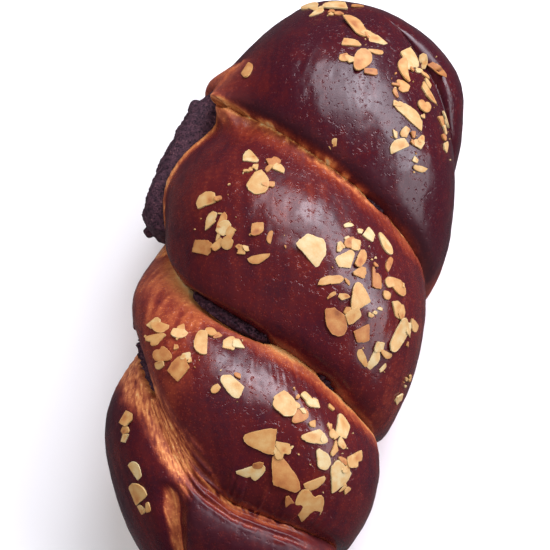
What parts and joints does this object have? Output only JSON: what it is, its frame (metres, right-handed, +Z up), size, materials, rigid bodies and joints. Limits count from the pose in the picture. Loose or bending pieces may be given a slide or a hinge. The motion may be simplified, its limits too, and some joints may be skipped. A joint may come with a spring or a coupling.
{
  "type": "babka loaf",
  "caption": "Twisted sweet bread loaf with a glossy dark crust, chocolate filling that shows at one flank and in the grooves, and flaked almonds baked on top.",
  "frame": {"origin": "middle of the loaf's footprint, on the surface that it rests on", "axes": "+Y along the loaf towards its far end, +X towards its right flank, +Z up"},
  "size_m": [0.1496, 0.305, 0.1043],
  "materials": {
    "crust": "egg-washed bread crust, dark reddish brown with a soft gloss, golden brown in the folds",
    "chocolate": "crumbly baked chocolate filling, near black"
  },
  "bodies": {
    "root": {"loaf": "crust", "chocolate_filling": "chocolate"}
  },
  "joints": []
}
